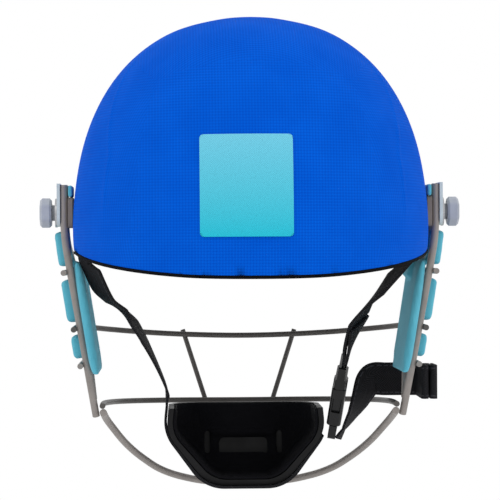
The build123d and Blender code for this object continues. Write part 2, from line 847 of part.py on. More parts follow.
def strapTail():
    """Spare webbing from the buckle out to the side window."""
    start = buckle_end - buckle_axis * 3 * webbing_thickness - Vector(webbing_width / 5, 0, 0)
    end = Vector(-tail_cross_x + clip_gap, -tail_cross_y, tail_cross_level)
    lead = end + Vector(webbing_width / 3, 0, 0)
    return ribbon(routeSpots(start, lead, tail_shares) + [(end, Vector(0, 0, 1))])


def tailBundle():
    """The spare webbing folded to and fro outside the face guard, its width upright."""
    spots = [(-tail_cross_x, -tail_cross_y), (-stack_start, -tail_cross_y), (-stack_start, -stack_rear)]
    for layer_number in range(1, stack_layers):
        x = -stack_start - stack_pitch * layer_number
        ends = [(x, -stack_rear), (x, -stack_front)]
        spots += ends if layer_number % 2 else ends[::-1]
    path = FilletPolyline(*spots, radius=stack_pitch * stack_turn_share)
    flat = trace(path, webbing_thickness)
    return Pos(0, 0, tail_cross_level - webbing_width / 2) * extrude(flat, webbing_width)


def buildParts():
    parts = {
        "outer_shell": outerShell(),
        "fabric_cover": fabricCover(),
        "rim_binding": rimBinding(),
        "impact_liner": impactLiner(),
        "peak_core": peakSheet(0, peak_core_thickness),
        "peak_cover": peakSheet(peak_core_thickness + layer_gap, peak_core_thickness + layer_gap + peak_skin),
        "peak_lining": peakSheet(-layer_gap - peak_skin, -layer_gap),
        "rear_badge": rearBadge(),
        "top_bar": wire(topHoop(), bar_wire),
        "low_bar": wire(lowHoop(), bar_wire),
        "chin_bar": wire(chinHoop(), frame_wire),
        "strut_left": strut(1),
        "strut_right": strut(-1),
        "chin_cup": chinCup(),
        "cup_lining": cupLining(),
        "cup_webbing": cupWebbing(),
        "strap_left": strapLeft(),
        "strap_right": strapRight(),
        "strap_tail": strapTail(),
        "tail_bundle": tailBundle(),
        "female_buckle": femaleBuckle(),
        "male_clip": maleClip(),
    }
    parts.update(comfortPads())
    paired = {
        "mounting_nut": mountingNut(),
        "spacer": spacer(),
        "temple_pad": templePad(),
        "mount_plate": mountPlate(),
        "clamp_washer": clampWasher(),
        "collar": collar(),
        "thumb_knob": thumbKnob(),
        "thumb_screw": thumbScrew(),
        "rear_upright": rearUpright(),
        "front_upright": frontUpright(),
        "side_bar_upper": sideBar(side_bar_level, side_bar_reach),
        "side_bar_lower": sideBar(low_side_bar_level, low_side_bar_reach),
        "side_pad": sidePad(),
    }
    for name, part in paired.items():
        parts[name + "_left"] = part
        parts[name + "_right"] = mirrored(part, -1)
    for name, side in (("left", 1), ("right", -1)):
        parts["strap_rivet_" + name] = strapRivet(side)
    return parts


os.makedirs("parts", exist_ok=True)
for node, solid in buildParts().items():
    export_step(solid, f"parts/{node}.step")
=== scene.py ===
import bpy
import math
from mathutils import Matrix, Vector


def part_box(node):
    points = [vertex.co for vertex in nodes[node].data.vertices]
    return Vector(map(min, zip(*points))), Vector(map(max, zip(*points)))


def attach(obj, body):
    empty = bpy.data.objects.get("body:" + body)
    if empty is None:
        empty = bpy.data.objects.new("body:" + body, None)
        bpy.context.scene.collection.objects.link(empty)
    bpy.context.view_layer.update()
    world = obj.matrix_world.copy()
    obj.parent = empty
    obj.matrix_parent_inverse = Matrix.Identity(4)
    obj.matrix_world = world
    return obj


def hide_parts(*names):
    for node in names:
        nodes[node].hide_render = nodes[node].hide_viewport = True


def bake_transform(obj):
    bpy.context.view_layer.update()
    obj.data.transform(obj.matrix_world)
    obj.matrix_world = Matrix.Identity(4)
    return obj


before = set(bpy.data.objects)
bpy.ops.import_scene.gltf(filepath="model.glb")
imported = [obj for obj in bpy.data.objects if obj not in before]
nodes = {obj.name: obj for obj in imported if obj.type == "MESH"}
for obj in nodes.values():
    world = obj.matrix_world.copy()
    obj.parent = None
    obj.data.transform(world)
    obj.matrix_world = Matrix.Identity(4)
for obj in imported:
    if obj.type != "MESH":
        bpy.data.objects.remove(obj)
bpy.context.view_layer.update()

# Cricket helmet: cloth-covered shell, wire face guard, foam side pads and a buckled chin strap.
# Metres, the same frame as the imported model. The wearer looks towards -Y.

scene = bpy.context.scene
mm = 0.001
mergeDistance = 0.00001
hardAngle, sheetAngle, padAngle = 35, 50, 80
sides = {"left": 1, "right": -1}


# small helpers for working on one piece at a time

def deselectAll():
    if bpy.context.object and bpy.context.object.mode != "OBJECT":
        bpy.ops.object.mode_set(mode="OBJECT")
    bpy.ops.object.select_all(action="DESELECT")


def pick(piece):
    deselectAll()
    piece.select_set(True)
    bpy.context.view_layer.objects.active = piece


def applyModifiers(piece):
    pick(piece)
    for modifier in list(piece.modifiers):
        bpy.ops.object.modifier_apply(modifier=modifier.name)


def smoothPiece(piece, degrees=hardAngle):
    pick(piece)
    bpy.ops.object.shade_smooth_by_angle(angle=math.radians(degrees))


def openAll(piece):
    # edit mode, with the whole mesh selected
    pick(piece)
    bpy.ops.object.mode_set(mode="EDIT")
    bpy.ops.mesh.select_all(action="SELECT")


def closeEdit():
    bpy.ops.object.mode_set(mode="OBJECT")


def turnOutward(piece):
    openAll(piece)
    bpy.ops.mesh.normals_make_consistent(inside=False)
    closeEdit()


def copyOfNode(node, name):
    piece = bpy.data.objects.new(name, nodes[node].data.copy())
    piece.data.name = name
    scene.collection.objects.link(piece)
    piece.data.materials.clear()
    openAll(piece)
    bpy.ops.mesh.remove_doubles(threshold=mergeDistance)
    closeEdit()
    return piece


def boxUv(piece):
    # one step of the map is one millimetre of cloth
    openAll(piece)
    bpy.ops.uv.cube_project(cube_size=mm)
    closeEdit()


def setFinish(piece, finish):
    piece.data.materials.clear()
    piece.data.materials.append(finish)


def dress(piece, finish, slot, body, *replaced):
    setFinish(piece, finish)
    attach(piece, body)
    if replaced:
        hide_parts(*replaced)


# finishes

def shade(red, green, blue):
    # a colour as seen on screen, made linear
    return tuple((part / 255) ** 2.2 for part in (red, green, blue)) + (1,)


def addNode(tree, kind, **values):
    made = tree.nodes.new(kind)
    for key, value in values.items():
        if hasattr(made, key):
            setattr(made, key, value)
        else:
            made.inputs[key].default_value = value
    return made


def maths(tree, operation, first, second=None):
    made = tree.nodes.new("ShaderNodeMath")
    made.operation = operation
    for socket, value in zip(made.inputs, (first, second)):
        if value is None:
            continue
        if isinstance(value, (int, float)):
            socket.default_value = value
        else:
            tree.links.new(value, socket)
    return made.outputs[0]


def newFinish(name, roughness, specular=0.5, metallic=0.0, sheen=0.0, coat=0.0):
    material = bpy.data.materials.new(name)
    material.use_nodes = True
    tree = material.node_tree
    shader = tree.nodes["Principled BSDF"]
    shader.inputs["Roughness"].default_value = roughness
    shader.inputs["Specular IOR Level"].default_value = specular
    shader.inputs["Metallic"].default_value = metallic
    shader.inputs["Sheen Weight"].default_value = sheen
    shader.inputs["Coat Weight"].default_value = coat
    return material, tree, shader


def mixColour(tree, factor, first, second):
    made = tree.nodes.new("ShaderNodeMix")
    made.data_type = "RGBA"
    tree.links.new(factor, made.inputs["Factor"])
    for socket, value in ((made.inputs[6], first), (made.inputs[7], second)):
        if isinstance(value, tuple):
            socket.default_value = value
        else:
            tree.links.new(value, socket)
    return made.outputs[2]


def noiseOf(tree, vector, scale, detail=3.0, roughness=0.55):
    made = addNode(tree, "ShaderNodeTexNoise", Scale=scale, Detail=detail, Roughness=roughness)
    tree.links.new(vector, made.inputs["Vector"])
    return made.outputs["Fac"]


def mapped(tree, value, low, high, newLow, newHigh):
    made = tree.nodes.new("ShaderNodeMapRange")
    tree.links.new(value, made.inputs["Value"])
    for key, number in (("From Min", low), ("From Max", high), ("To Min", newLow), ("To Max", newHigh)):
        made.inputs[key].default_value = number
    return made.outputs["Result"]


def addBump(tree, shader, height, strength, distance):
    bump = addNode(tree, "ShaderNodeBump", Strength=strength, Distance=distance)
    tree.links.new(height, bump.inputs["Height"])
    tree.links.new(bump.outputs["Normal"], shader.inputs["Normal"])


def coordinate(tree, output):
    return addNode(tree, "ShaderNodeTexCoord").outputs[output]


def plainWeave(tree, pitch, diagonal=False):
    # threads over and under, on a map whose step is a millimetre
    parts = tree.nodes.new("ShaderNodeSeparateXYZ")
    tree.links.new(coordinate(tree, "UV"), parts.inputs[0])
    first, second = parts.outputs[0], parts.outputs[1]
    if diagonal:
        first, second = maths(tree, "ADD", first, second), maths(tree, "SUBTRACT", first, second)
    turn = 2 * math.pi / pitch
    across = maths(tree, "SINE", maths(tree, "MULTIPLY", first, turn))
    along = maths(tree, "SINE", maths(tree, "MULTIPLY", second, turn))
    return maths(tree, "MULTIPLY", across, along)


clothLook = {"spreadScale": 38.0, "fading": 0.22, "roughStep": 0.06, "relief": 0.6}


def clothFinish(name, colour, darker, pitch, depth, roughness=0.85, specular=0.06, sheen=0.0,
                diagonal=False, contrast=0.55):
    material, tree, shader = newFinish(name, roughness, specular, sheen=sheen)
    weave = plainWeave(tree, pitch, diagonal)
    spread = noiseOf(tree, coordinate(tree, "Object"), clothLook["spreadScale"])
    threads = mixColour(tree, mapped(tree, weave, -1, 1, contrast, 0), colour, darker)
    tinted = mixColour(tree, mapped(tree, spread, 0.35, 0.65, 0, clothLook["fading"]), threads, darker)
    tree.links.new(tinted, shader.inputs["Base Color"])
    smoothest = roughness - clothLook["roughStep"]
    roughest = min(1, roughness + clothLook["roughStep"])
    rough = mapped(tree, spread, 0.3, 0.7, smoothest, roughest)
    tree.links.new(rough, shader.inputs["Roughness"])
    addBump(tree, shader, maths(tree, "ADD", weave, spread), clothLook["relief"], depth)
    return material


def plasticFinish(name, colour, darker, roughness, specular, grainScale, depth, coat=0.0):
    material, tree, shader = newFinish(name, roughness, specular, coat=coat)
    place = coordinate(tree, "Object")
    grain = noiseOf(tree, place, grainScale, 2.0)
    cloud = noiseOf(tree, place, 60.0)
    tinted = mixColour(tree, mapped(tree, cloud, 0.35, 0.7, 0, 0.6), colour, darker)
    tree.links.new(tinted, shader.inputs["Base Color"])
    rough = mapped(tree, cloud, 0.3, 0.7, roughness - 0.07, roughness + 0.08)
    tree.links.new(rough, shader.inputs["Roughness"])
    addBump(tree, shader, grain, 0.35, depth)
    return material


def metalFinish(name, colour, darker, roughness, metallic, grainScale, depth, specular=0.5):
    material, tree, shader = newFinish(name, roughness, specular, metallic)
    place = coordinate(tree, "Object")
    cloud = noiseOf(tree, place, grainScale)
    scuffs = noiseOf(tree, place, grainScale * 9, 4.0, 0.7)
    worn = mixColour(tree, mapped(tree, scuffs, 0.6, 0.72, 0, 0.5), colour, darker)
    tinted = mixColour(tree, mapped(tree, cloud, 0.4, 0.7, 0, 0.35), worn, darker)
    tree.links.new(tinted, shader.inputs["Base Color"])
    rough = mapped(tree, scuffs, 0.3, 0.7, roughness - 0.08, roughness + 0.12)
    tree.links.new(rough, shader.inputs["Roughness"])
    addBump(tree, shader, scuffs, 0.3, depth)
    return material


def badgeFinish():
    # woven patch, paler towards its top
    settings = {"top": shade(122, 205, 230), "foot": shade(28, 192, 214), "thread": shade(70, 178, 205),
                "pitch": 1.2}
    material, tree, shader = newFinish("wovenBadge", 0.75, 0.08)
    low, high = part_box("rear_badge")
    place = tree.nodes.new("ShaderNodeSeparateXYZ")
    tree.links.new(coordinate(tree, "Object"), place.inputs[0])
    rise = mapped(tree, place.outputs["Z"], low.z, high.z, 0, 1)
    base = mixColour(tree, rise, settings["foot"], settings["top"])
    weave = plainWeave(tree, settings["pitch"])
    threads = mixColour(tree, mapped(tree, weave, -1, 1, 0.5, 0), base, settings["thread"])
    tree.links.new(threads, shader.inputs["Base Color"])
    rough = mapped(tree, weave, -1, 1, 0.82, 0.66)
    tree.links.new(rough, shader.inputs["Roughness"])
    addBump(tree, shader, weave, 0.7, 0.0002)
    return material


def webbingFinish():
    # herringbone ribs, with a run of stitches inside each edge
    settings = {"colour": shade(26, 26, 28), "thread": shade(62, 62, 66), "rib": 1.5, "bar": 4.0,
                "stitch": 3.2, "stitchShare": 0.68, "seamAt": 8.2, "seamWidth": 0.4}
    material, tree, shader = newFinish("webbing", 0.8, 0.12)
    parts = tree.nodes.new("ShaderNodeSeparateXYZ")
    tree.links.new(coordinate(tree, "UV"), parts.inputs[0])
    across, along = parts.outputs[0], parts.outputs[1]
    slant = maths(tree, "PINGPONG", maths(tree, "ADD", across, 10 * settings["bar"]), settings["bar"])
    ribPlace = maths(tree, "MULTIPLY", maths(tree, "ADD", along, slant), 2 * math.pi / settings["rib"])
    rib = maths(tree, "SINE", ribPlace)
    fromMiddle = maths(tree, "ABSOLUTE", across)
    offset = maths(tree, "ABSOLUTE", maths(tree, "SUBTRACT", fromMiddle, settings["seamAt"]))
    line = maths(tree, "LESS_THAN", offset, settings["seamWidth"])
    stitchPlace = maths(tree, "FRACT", maths(tree, "DIVIDE", along, settings["stitch"]))
    dash = maths(tree, "LESS_THAN", stitchPlace, settings["stitchShare"])
    stitch = maths(tree, "MULTIPLY", line, dash)
    ribbed = mixColour(tree, mapped(tree, rib, -1, 1, 0, 0.35), settings["colour"], settings["thread"])
    tree.links.new(mixColour(tree, stitch, ribbed, settings["thread"]), shader.inputs["Base Color"])
    tree.links.new(mapped(tree, rib, -1, 1, 0.88, 0.72), shader.inputs["Roughness"])
    height = maths(tree, "ADD", maths(tree, "MULTIPLY", rib, 0.5), stitch)
    addBump(tree, shader, height, 0.7, 0.00025)
    return material


def linerFinish():
    # moulded beads of expanded foam
    material, tree, shader = newFinish("linerFoam", 0.9, 0.1)
    place = coordinate(tree, "Object")
    beads = addNode(tree, "ShaderNodeTexVoronoi", Scale=300.0)
    tree.links.new(place, beads.inputs["Vector"])
    tone = mapped(tree, beads.outputs["Distance"], 0, 0.6, 0, 0.7)
    tree.links.new(mixColour(tree, tone, shade(44, 44, 48), shade(26, 26, 30)), shader.inputs["Base Color"])
    tree.links.new(mapped(tree, noiseOf(tree, place, 50), 0.3, 0.7, 0.84, 0.96), shader.inputs["Roughness"])
    addBump(tree, shader, beads.outputs["Distance"], 0.5, -0.0004)
    return material


finishes = {
    "cover": clothFinish("coverCloth", shade(3, 94, 214), shade(1, 64, 172), 3.2, 0.00014, specular=0.03,
                         diagonal=True, contrast=0.6),
    "lining": clothFinish("darkLining", shade(30, 36, 52), shade(16, 20, 32), 1.1, 0.0001),
    "tape": clothFinish("bindingTape", shade(22, 22, 25), shade(12, 12, 14), 0.8, 0.0001),
    "comfort": clothFinish("comfortCloth", shade(36, 38, 43), shade(20, 22, 26), 1.4, 0.0002),
    "pad": clothFinish("padCloth", shade(104, 190, 210), shade(62, 150, 178), 0.9, 0.00012, sheen=0.15),
    "cupCloth": clothFinish("cupCloth", shade(28, 28, 31), shade(14, 14, 17), 1.0, 0.00015),
    "badge": badgeFinish(),
    "webbing": webbingFinish(),
    "foam": linerFinish(),
    "shell": plasticFinish("shellPlastic", shade(20, 58, 128), shade(14, 44, 104), 0.35, 0.4, 900, 0.00003),
    "cup": plasticFinish("cupPlastic", shade(22, 22, 24), shade(14, 14, 15), 0.5, 0.22, 1400, 0.00006),
    "buckle": plasticFinish("bucklePlastic", shade(20, 20, 22), shade(12, 12, 13), 0.28, 0.35, 1800, 0.00002),
    "spacer": plasticFinish("spacerPlastic", shade(124, 115, 106), shade(98, 90, 83), 0.55, 0.3, 1200,
                            0.00005),
    "knob": plasticFinish("knobPlastic", shade(168, 173, 184), shade(140, 146, 158), 0.42, 0.4, 1500,
                          0.00003),
    "nearWire": metalFinish("coatedWire", shade(142, 136, 132), shade(112, 107, 104), 0.42, 0.15, 90,
                            0.00004),
    # the far bars wear a darker copy of the same wire coat: painted shade, not a different paint
    "shadedFarWire": metalFinish("coatedBarsPaintedShade", shade(88, 85, 83), shade(66, 64, 62), 0.42, 0.15, 90,
                           0.00004, 0.3),
    "plate": metalFinish("coatedPlate", shade(196, 208, 208), shade(164, 178, 180), 0.45, 0.1, 90,
                         0.00004),
    "collar": metalFinish("collarSteel", shade(120, 124, 130), shade(88, 92, 98), 0.35, 0.7, 160,
                          0.00002),
    "steel": metalFinish("platedSteel", shade(176, 177, 180), shade(140, 141, 145), 0.3, 0.9, 160,
                         0.00002),
    "rivet": metalFinish("rivetSteel", shade(96, 97, 100), shade(64, 65, 68), 0.35, 0.9, 160, 0.00002),
    "brass": metalFinish("turnedBrass", shade(196, 160, 92), shade(158, 124, 66), 0.32, 1.0, 160,
                         0.00002),
}
print("finishes made:", len(finishes))


# rigid nodes keep their shape and get their finish

rigidFinishes = {
    "outer_shell": "shell", "peak_core": "shell", "impact_liner": "foam", "chin_cup": "cup",
    # top, low and strut bars take the darker copy of the wire coat, which is painted shade
    "female_buckle": "buckle", "male_clip": "buckle", "top_bar": "shadedFarWire", "low_bar": "shadedFarWire",
    "chin_bar": "nearWire",
}
pairedFinishes = {
    "strut": "shadedFarWire", "rear_upright": "nearWire", "front_upright": "nearWire",
    "side_bar_upper": "nearWire", "side_bar_lower": "nearWire", "mount_plate": "plate",
    "spacer": "spacer", "clamp_washer": "steel", "collar": "collar", "thumb_knob": "knob",
    "thumb_screw": "steel", "mounting_nut": "brass", "strap_rivet": "rivet",
}
for family, finish in pairedFinishes.items():
    for side in sides:
        rigidFinishes[f"{family}_{side}"] = finish
for node, finish in rigidFinishes.items():
    for holder in nodes[node].material_slots:
        holder.material = finishes[finish]
print("rigid nodes finished:", len(rigidFinishes))


# cloth cover, with the raised panel seams of its back

cover = {
    "seamHeight": 0.5 * mm, "seamWidth": 1.6 * mm, "seamAngle": 54.0, "seamLean": 15.0,
    "leanFrom": 0.052, "leanRise": 0.061, "seamFoot": 0.012, "seamTop": 0.118, "seamFade": 0.02,
    "reach": 9 * mm, "cuts": 4, "domeMiddle": 0.008, "stretch": 122 / 102,
}


def seamDistance(place):
    # how far a place on the cover is from the nearer seam, along the dome
    x, y = abs(place.x), (place.y - cover["domeMiddle"]) / cover["stretch"]
    lean = max(0, (place.z - cover["leanFrom"]) / cover["leanRise"])
    seam = math.radians(cover["seamAngle"] + cover["seamLean"] * lean)
    return abs(math.atan2(x, y) - seam) * math.hypot(x, y)


def seamRise(place):
    # the seam's height at a place, faded out at its two ends
    fromFoot = (place.z - cover["seamFoot"]) / cover["seamFade"]
    fromTop = (cover["seamTop"] - place.z) / cover["seamFade"]
    fade = min(1, max(0, fromFoot)) * min(1, max(0, fromTop))
    return cover["seamHeight"] * fade * math.exp(-(seamDistance(place) / cover["seamWidth"]) ** 2)


def clothCover():
    piece = copyOfNode("fabric_cover", "cover_cloth")
    mesh = piece.data
    bpy.ops.object.mode_set(mode="EDIT")
    bpy.ops.mesh.select_mode(type="FACE")
    bpy.ops.object.mode_set(mode="OBJECT")
    for vertex in mesh.vertices:
        vertex.select = False
    for edge in mesh.edges:
        edge.select = False
    for polygon in mesh.polygons:
        middle = polygon.center
        inBand = cover["seamFoot"] - cover["reach"] < middle.z < cover["seamTop"] + cover["reach"]
        polygon.select = inBand and seamDistance(middle) < cover["reach"]
    bpy.ops.object.mode_set(mode="EDIT")
    bpy.ops.mesh.subdivide(number_cuts=cover["cuts"])
    bpy.ops.object.mode_set(mode="OBJECT")
    for vertex in mesh.vertices:
        place = vertex.co
        outward = Vector((place.x, place.y - cover["domeMiddle"], place.z)).normalized()
        vertex.co = place + outward * seamRise(place)
    boxUv(piece)
    smoothPiece(piece)
    dress(piece, finishes["cover"], "cover_cloth", "helmet", "fabric_cover")


clothCover()


# thin cloth skins and trim that keep the outline of their nodes

def clothCopy(node, name, finish, slot):
    piece = copyOfNode(node, name)
    boxUv(piece)
    smoothPiece(piece)
    dress(piece, finishes[finish], slot, "helmet", node)


# millimetres: a drooping arch inside an ellipse, from the dome to the front edge
peak = {
    "arch": 150.0, "rootZ": 57.0, "rootY": -106.0, "droop": 14.5, "halfWidth": 90.0, "length": 104.0,
    "middleY": -62.0, "endY": -58.0, "columns": 96, "rows": 26, "wrapRows": 4, "edgeGap": 0.6, "skin": 0.9,
    "coverRadius": 153.15, "liningRadius": 149.25, "wrapRadius": 149.95, "steps": 24,
    "domeHalf": 102.4, "domeLength": 122.4, "domeHeight": 127.4, "domeFoot": 6.0, "domeMiddle": 8.0,
    "exponent": 2.35,
}


def sheetHeight(x, y, radius):
    droop = math.radians(peak["droop"])
    upright = math.sqrt(radius ** 2 - x ** 2) + math.sin(droop) * (y - peak["rootY"])
    return upright / math.cos(droop) + peak["rootZ"] - peak["arch"]


def inDome(x, y, z):
    share = max(0, z - peak["domeFoot"]) / peak["domeHeight"]
    radius = peak["domeHalf"] * (1 - share ** peak["exponent"]) ** (1 / peak["exponent"])
    return math.hypot(x, (y - peak["domeMiddle"]) * peak["domeHalf"] / peak["domeLength"]) < radius


def inward(x, y, share):
    # from the outline towards the middle of the peak's rear end
    return x * (1 - share), y + (peak["endY"] - y) * share


def rootShare(x, y, radius):
    low, high = 0.0, 1.0
    for step in range(peak["steps"]):
        middle = (low + high) / 2
        spot = inward(x, y, middle)
        if inDome(*spot, sheetHeight(*spot, radius)):
            high = middle
        else:
            low = middle
    return low


def peakSkin(node, name, finish, slot, radius, wrapRows):
    rows = peak["rows"] + wrapRows
    deselectAll()
    bpy.ops.mesh.primitive_grid_add(x_subdivisions=peak["columns"], y_subdivisions=rows, size=2)
    piece = bpy.context.object
    piece.name = piece.data.name = name
    lastTurn = math.acos((peak["middleY"] - peak["endY"]) / peak["length"])
    roots = {}
    for vertex in piece.data.vertices:
        turn = vertex.co.x * lastTurn
        x = peak["halfWidth"] * math.sin(turn)
        y = peak["middleY"] - peak["length"] * math.cos(turn)
        key = round(vertex.co.x, 5)
        if key not in roots:
            roots[key] = rootShare(x, y, radius)
        row = (vertex.co.y + 1) / 2 * rows
        if row <= peak["rows"]:
            spot = inward(x, y, roots[key] * (1 - row / peak["rows"]))
            vertex.co = Vector((*spot, sheetHeight(*spot, radius))) * mm
        else:  # over the front edge and down, to hide the edge of the core
            share = (row - peak["rows"]) / wrapRows
            outX, outY = x / peak["halfWidth"] ** 2, (y - peak["middleY"]) / peak["length"] ** 2
            out = Vector((outX, outY)).normalized() * peak["edgeGap"] * min(1, 2 * share)
            level = sheetHeight(x, y, radius + (peak["wrapRadius"] - radius) * share)
            vertex.co = Vector((x + out.x, y + out.y, level)) * mm
    wall = piece.modifiers.new("wall", "SOLIDIFY")
    wall.thickness = peak["skin"] * mm
    wall.offset = 0
    applyModifiers(piece)
    turnOutward(piece)
    boxUv(piece)
    smoothPiece(piece, sheetAngle)
    dress(piece, finishes[finish], slot, "helmet", node)


peakSkin("peak_cover", "peak_cloth", "cover", "cover_cloth", peak["coverRadius"], peak["wrapRows"])
peakSkin("peak_lining", "peak_under_cloth", "lining", "dark_cloth", peak["liningRadius"], 0)
clothCopy("rim_binding", "rim_tape", "tape", "binding_tape")
clothCopy("rear_badge", "badge_patch", "badge", "badge_cloth")
clothCopy("cup_webbing", "cup_cradle", "webbing", "webbing")
print("cover, peak, rim and badge dressed")


# foam pads, swollen a little under their cloth

padMaking = {"frames": 20, "pressure": 4.0, "mass": 0.3}


def swell(piece, cap):
    rest = [vertex.co.copy() for vertex in piece.data.vertices]
    cloth = piece.modifiers.new("swell", "CLOTH")
    cloth.settings.use_pressure = True
    cloth.settings.uniform_pressure_force = padMaking["pressure"]
    cloth.settings.mass = padMaking["mass"]
    cloth.settings.effector_weights.gravity = 0
    cloth.point_cache.frame_start = 1
    cloth.point_cache.frame_end = padMaking["frames"]
    for number in range(1, padMaking["frames"] + 1):
        scene.frame_set(number)
    applyModifiers(piece)
    scene.frame_set(1)
    for vertex, start in zip(piece.data.vertices, rest):
        step = vertex.co - start
        if step.length > cap:
            vertex.co = start + step.normalized() * cap


def foamPad(node, name, body, slot, finish, voxel, shrink, cap, fill):
    piece = copyOfNode(node, name)
    openAll(piece)
    bpy.ops.transform.shrink_fatten(value=-shrink)
    closeEdit()
    remesh = piece.modifiers.new("cells", "REMESH")
    remesh.mode = "VOXEL"
    remesh.voxel_size = voxel
    even = piece.modifiers.new("even", "SMOOTH")
    even.iterations = 3
    applyModifiers(piece)
    swell(piece, cap)
    finer = piece.modifiers.new("finer", "SUBSURF")
    finer.levels = finer.render_levels = 1
    applyModifiers(piece)
    boxUv(piece)
    smoothPiece(piece, padAngle)
    dress(piece, finishes[finish], slot, body, node)


# cell size, how far the skin is drawn in first, how far it may then swell, and how full the pad is
guardPad = {"voxel": 1.4 * mm, "shrink": 0.3 * mm, "cap": 0.8 * mm, "fill": 0.8}
templePad = {"voxel": 0.7 * mm, "shrink": 0.1 * mm, "cap": 0.3 * mm, "fill": 0.7}
comfortPad = {"voxel": 2.4 * mm, "shrink": 0.7 * mm, "cap": 1.4 * mm, "fill": 0.8}
crownPad = {"voxel": 2.6 * mm, "shrink": 0.7 * mm, "cap": 1.4 * mm, "fill": 0.8}
cupPad = {"voxel": 0.9 * mm, "shrink": 0.0, "cap": 0.3 * mm, "fill": 0.6}

for side in sides:
    foamPad(f"side_pad_{side}", f"guard_pad_{side}", "grille", "pad_cloth", "pad", **guardPad)
    foamPad(f"temple_pad_{side}", f"temple_cushion_{side}", "helmet", "pad_cloth", "pad", **templePad)
    foamPad(f"side_comfort_{side}", f"side_cushion_{side}", "helmet", "comfort_cloth", "comfort",
            **comfortPad)
foamPad("crown_pad", "crown_cushion", "helmet", "comfort_cloth", "comfort", **crownPad)
foamPad("brow_pad", "brow_cushion", "helmet", "comfort_cloth", "comfort", **comfortPad)
foamPad("nape_pad", "nape_cushion", "helmet", "comfort_cloth", "comfort", **comfortPad)
foamPad("cup_lining", "cup_cushion", "helmet", "cup_cloth", "cupCloth", **cupPad)
print("pads swollen")


# webbing

strap = {"width": 20 * mm, "thickness": 1.6 * mm, "play": 0.1 * mm, "edge": 0.35 * mm, "bend": 0.8,
         "cellsAcross": 8, "cellsAlong": 90}


def routeAt(places, acrosses, marks, distance):
    # a smooth line through the places, with the width's direction carried along
    last = len(places) - 1
    k = 0
    while k < last - 1 and marks[k + 1] < distance:
        k += 1
    share = (distance - marks[k]) / (marks[k + 1] - marks[k])
    before, here = places[max(k - 1, 0)], places[k]
    there, after = places[k + 1], places[min(k + 2, last)]
    span = marks[k + 1] - marks[k]
    leave = (there - before).normalized() * span * strap["bend"]
    arrive = (after - here).normalized() * span * strap["bend"]
    a, b = share * share, share ** 3
    place = (here * (2 * b - 3 * a + 1) + leave * (b - 2 * a + share)
             + there * (3 * a - 2 * b) + arrive * (b - a))
    along = (here * (6 * a - 6 * share) + leave * (3 * a - 4 * share + 1)
             + there * (6 * share - 6 * a) + arrive * (3 * a - 2 * share)).normalized()
    across = acrosses[k].lerp(acrosses[k + 1], share)
    across = (across - along * across.dot(along)).normalized()
    return place, across


def measured(spots):
    places = [Vector(place) for place, across in spots]
    acrosses = [Vector(across).normalized() for place, across in spots]
    marks = [0]
    for start, end in zip(places, places[1:]):
        marks.append(marks[-1] + (end - start).length)
    return places, acrosses, marks


def webbingPiece(name, spots, cells):
    places, acrosses, marks = measured(spots)
    deselectAll()
    bpy.ops.mesh.primitive_grid_add(x_subdivisions=strap["cellsAcross"], y_subdivisions=cells, size=2)
    piece = bpy.context.object
    piece.name = piece.data.name = name
    for corner in piece.data.uv_layers.active.data:
        corner.uv = ((corner.uv.x - 0.5) * strap["width"] / mm, corner.uv.y * marks[-1] / mm)
    for vertex in piece.data.vertices:
        share = min(1, max(0, (vertex.co.y + 1) / 2))
        place, across = routeAt(places, acrosses, marks, share * marks[-1])
        vertex.co = place + across * vertex.co.x * strap["width"] / 2
    wall = piece.modifiers.new("wall", "SOLIDIFY")
    wall.thickness = strap["thickness"] - strap["play"]
    wall.offset = 0
    edge = piece.modifiers.new("edge", "BEVEL")
    edge.width = strap["edge"]
    edge.segments = 2
    edge.limit_method = "ANGLE"
    edge.angle_limit = math.radians(60)
    applyModifiers(piece)
    turnOutward(piece)
    smoothPiece(piece, sheetAngle)
    return piece


def between(start, end, shares):
    return Vector([a + (b - a) * share for a, b, share in zip(start, end, shares)])


def routeSpots(start, end, shares):
    return [(between(start, end, place), across) for place, across in shares]


# shares of the way from the rim to the strap's end, then the direction across the webbing
leftShares = [
    ((0.06, 0.07, 0.08), (-0.5, 0.85, -0.1)),
    ((0.22, 0.24, 0.286), (-0.61, 0.73, -0.29)),
    ((0.38, 0.36, 0.37), (-0.58, 0.78, -0.2)),
    ((0.49, 0.45, 0.44), (-0.3, 0.78, -0.5)),
    ((0.66, 0.6, 0.56), (-0.16, 0.76, -0.62)),
    ((0.83, 0.79, 0.75), (-0.22, 0.72, -0.62)),
    ((1, 1, 1), (-0.05, 1, -0.1)),
]
clipAcross = (0.14, 0.96, -0.26)
rightShares = [
    ((0.45, 0.3, 0.33), (0.22, 0.78, -0.55)),
    ((0.69, 0.52, 0.53), (0.33, 0.9, -0.25)),
    ((0.83, 0.7, 0.7), (0.5, 0.85, -0.16)),
    ((1, 1, 1), clipAcross),
]
tailShares = [
    ((0, 0, 0), (0.1, 0.92, 0.3)),
    ((0.16, 0.28, 0.16), (-0.2, 0.8, 0.55)),
    ((0.42, 0.55, 0.42), (0.1, 0.85, 0.5)),
    ((0.6, 0.72, 0.62), (0.35, 0.75, 0.5)),
    ((0.82, 0.9, 0.9), (0.35, 0.45, 0.8)),
    ((1, 1, 1), (0, 0.1, 1)),
]

